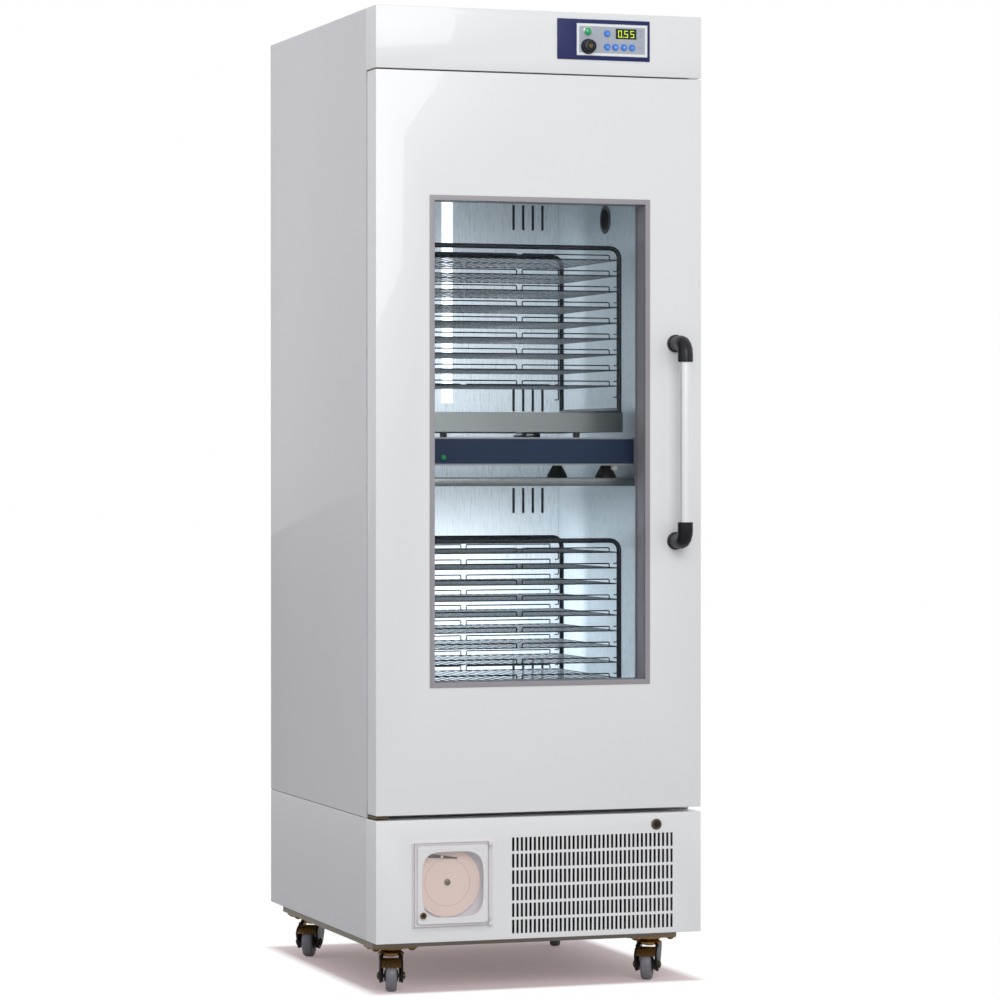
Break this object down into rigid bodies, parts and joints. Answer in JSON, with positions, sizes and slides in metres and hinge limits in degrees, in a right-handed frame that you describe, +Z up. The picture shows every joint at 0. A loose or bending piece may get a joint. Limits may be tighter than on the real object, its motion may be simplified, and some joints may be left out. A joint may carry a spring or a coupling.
{
  "type": "platelet incubator",
  "caption": "Floor-standing glazed incubator cabinet on casters with flatbed agitators carrying racks of wire shelves.",
  "frame": {"origin": "on the floor, under the middle of the box that the cabinet and its door handle fill", "axes": "+Z up, -Y towards the user at the door, +X to the user's right"},
  "size_m": [0.69, 0.8616, 1.964],
  "materials": {
    "painted_front": "satin",
    "painted_side": "satin",
    "foam": "matte",
    "stainless": "satin",
    "aluminium": "satin",
    "lamp": "satin",
    "black_plastic": "satin",
    "white_foam_core": "satin",
    "grey_plastic": "satin",
    "clear_plastic": "gloss",
    "grey_profile": "satin",
    "glass": "gloss",
    "gasket": "matte",
    "satin_aluminium": "satin",
    "silver_film": "satin",
    "navy": "satin",
    "navy_plastic": "satin",
    "screen": "gloss",
    "green_lens": "gloss",
    "blue_key": "satin",
    "chrome": "polished",
    "steel": "satin",
    "zinc": "satin",
    "wheel": "matte",
    "chart_paper": "matte",
    "black_paint": "satin"
  },
  "bodies": {
    "cabinet": {"outer_shell": "painted_side", "insulation": "foam", "inner_liner": "stainless", "rear_duct": "stainless", "header_panel": "painted_front", "control_bezel": "navy_plastic", "key_face": "silver_film", "display_board": "screen", "pilot_lamp": "green_lens", "key_switch_body": "chrome", "base_frame": "zinc", "base_front_panel": "painted_front", "base_cover": "painted_side", "power_inlet": "black_plastic", "compressor": "black_paint", "condenser": "aluminium", "recorder_case": "grey_plastic", "hinge_bracket_upper": "zinc", "hinge_bracket_lower": "zinc", "middle_shelf": "stainless", "evaporator_coil": "aluminium", "evaporator_box": "stainless", "chamber_lamp": "lamp", "upper_agitator_base": "navy", "lower_agitator_base": "navy"},
    "door": {"door_skin": "painted_front", "door_inner_panel": "white_foam_core", "window_frame": "grey_profile", "door_pane_outer": "glass", "door_pane_inner": "glass", "door_gasket": "gasket", "handle_bar": "satin_aluminium", "handle_elbow_upper": "black_plastic", "handle_elbow_lower": "black_plastic"},
    "lock": {"door_lock": "chrome"},
    "power_key": {"key_switch_barrel": "black_plastic"},
    "recorder_lid": {"recorder_lid": "clear_plastic"},
    "chart": {"recorder_chart": "chart_paper"},
    "pen": {"recorder_pen": "black_plastic"},
    "circulation_fan": {"circulation_fan": "black_plastic"},
    "condenser_fan": {"condenser_fan": "black_plastic"},
    "silence_key": {"silence_key": "blue_key"},
    "set_key": {"set_key": "blue_key"},
    "down_key": {"down_key": "blue_key"},
    "up_key": {"up_key": "blue_key"},
    "light_key": {"light_key": "blue_key"},
    "fork_front_left": {"caster_fork_front_left": "zinc"},
    "wheel_front_left": {"caster_wheel_front_left": "wheel"},
    "fork_front_right": {"caster_fork_front_right": "zinc"},
    "wheel_front_right": {"caster_wheel_front_right": "wheel"},
    "fork_back_left": {"caster_fork_back_left": "zinc"},
    "wheel_back_left": {"caster_wheel_back_left": "wheel"},
    "fork_back_right": {"caster_fork_back_right": "zinc"},
    "wheel_back_right": {"caster_wheel_back_right": "wheel"},
    "upper_carriage": {"upper_platform": "stainless", "upper_rack": "stainless"},
    "upper_crank": {"upper_crank": "steel"},
    "lower_carriage": {"lower_platform": "stainless", "lower_rack": "stainless"},
    "lower_crank": {"lower_crank": "steel"}
  },
  "joints": [
    {"name": "door_hinge", "type": "hinge", "parent": "cabinet", "child": "door", "pos_m": [-0.337, -0.33925, 1.1], "axis": [0, 0, -1], "range_deg": [0, 110]},
    {"name": "lock_turn", "type": "hinge", "parent": "cabinet", "child": "lock", "pos_m": [0.248, -0.35925, 0.327], "axis": [0, 1, 0], "range_deg": [0, 90]},
    {"name": "power_key_turn", "type": "hinge", "parent": "cabinet", "child": "power_key", "pos_m": [0.0998, -0.36165, 1.896], "axis": [0, 1, 0], "range_deg": [0, 90]},
    {"name": "recorder_lid_hinge", "type": "hinge", "parent": "cabinet", "child": "recorder_lid", "pos_m": [-0.1089, -0.36825, 0.22125], "axis": [0, 0, 1], "range_deg": [0, 100]},
    {"name": "chart_turn", "type": "hinge", "parent": "cabinet", "child": "chart", "pos_m": [-0.1925, -0.34525, 0.2231], "axis": [0, 1, 0], "continuous": true},
    {"name": "pen_swing", "type": "hinge", "parent": "cabinet", "child": "pen", "pos_m": [-0.248, -0.34615, 0.279], "axis": [0, 1, 0], "range_deg": [-12, 12]},
    {"name": "circulation_fan_spin", "type": "hinge", "parent": "cabinet", "child": "circulation_fan", "pos_m": [0, 0.04775, 1.707], "axis": [0, 1, 0], "continuous": true},
    {"name": "condenser_fan_spin", "type": "hinge", "parent": "cabinet", "child": "condenser_fan", "pos_m": [0.105, -0.22125, 0.206], "axis": [0, 1, 0], "continuous": true},
    {"name": "silence_press", "type": "slide", "parent": "cabinet", "child": "silence_key", "axis": [0, 1, 0], "range_m": [0, 0.001], "stiffness_N_per_m": 300},
    {"name": "set_press", "type": "slide", "parent": "cabinet", "child": "set_key", "axis": [0, 1, 0], "range_m": [0, 0.001], "stiffness_N_per_m": 300},
    {"name": "down_press", "type": "slide", "parent": "cabinet", "child": "down_key", "axis": [0, 1, 0], "range_m": [0, 0.001], "stiffness_N_per_m": 300},
    {"name": "up_press", "type": "slide", "parent": "cabinet", "child": "up_key", "axis": [0, 1, 0], "range_m": [0, 0.001], "stiffness_N_per_m": 300},
    {"name": "light_press", "type": "slide", "parent": "cabinet", "child": "light_key", "axis": [0, 1, 0], "range_m": [0, 0.001], "stiffness_N_per_m": 300},
    {"name": "swivel_front_left", "type": "hinge", "parent": "cabinet", "child": "fork_front_left", "pos_m": [-0.278, -0.24025, 0.0697], "axis": [0, 0, 1], "continuous": true},
    {"name": "roll_front_left", "type": "hinge", "parent": "fork_front_left", "child": "wheel_front_left", "pos_m": [-0.28737, -0.27293, 0.0315], "axis": [0.9613, -0.2756, 0], "continuous": true},
    {"name": "swivel_front_right", "type": "hinge", "parent": "cabinet", "child": "fork_front_right", "pos_m": [0.278, -0.24025, 0.0697], "axis": [0, 0, 1], "continuous": true},
    {"name": "roll_front_right", "type": "hinge", "parent": "fork_front_right", "child": "wheel_front_right", "pos_m": [0.26204, -0.27027, 0.0315], "axis": [0.8829, -0.4695, 0], "continuous": true},
    {"name": "swivel_back_left", "type": "hinge", "parent": "cabinet", "child": "fork_back_left", "pos_m": [-0.278, 0.33575, 0.0697], "axis": [0, 0, 1], "continuous": true},
    {"name": "roll_back_left", "type": "hinge", "parent": "fork_back_left", "child": "wheel_back_left", "pos_m": [-0.29396, 0.30573, 0.0315], "axis": [0.8829, -0.4695, 0], "continuous": true},
    {"name": "swivel_back_right", "type": "hinge", "parent": "cabinet", "child": "fork_back_right", "pos_m": [0.278, 0.33575, 0.0697], "axis": [0, 0, 1], "continuous": true},
    {"name": "roll_back_right", "type": "hinge", "parent": "fork_back_right", "child": "wheel_back_right", "pos_m": [0.26526, 0.30423, 0.0315], "axis": [0.9272, -0.3746, 0], "continuous": true},
    {"name": "upper_agitation", "type": "slide", "parent": "cabinet", "child": "upper_carriage", "axis": [1, 0, 0], "range_m": [-0.019, 0.019]},
    {"name": "upper_crank_turn", "type": "hinge", "parent": "cabinet", "child": "upper_crank", "pos_m": [0.08, -0.04225, 1.1132], "axis": [0, 0, 1], "range_deg": [-91, 91]},
    {"name": "lower_agitation", "type": "slide", "parent": "cabinet", "child": "lower_carriage", "axis": [1, 0, 0], "range_m": [-0.019, 0.019]},
    {"name": "lower_crank_turn", "type": "hinge", "parent": "cabinet", "child": "lower_crank", "pos_m": [0.08, -0.04225, 0.5132], "axis": [0, 0, 1], "range_deg": [-91, 91]}
  ],
  "couplings": [
    {"joint": "upper_crank_turn", "follows": "upper_agitation", "rad_per_m": -82.673},
    {"joint": "lower_crank_turn", "follows": "lower_agitation", "rad_per_m": -82.673}
  ]
}
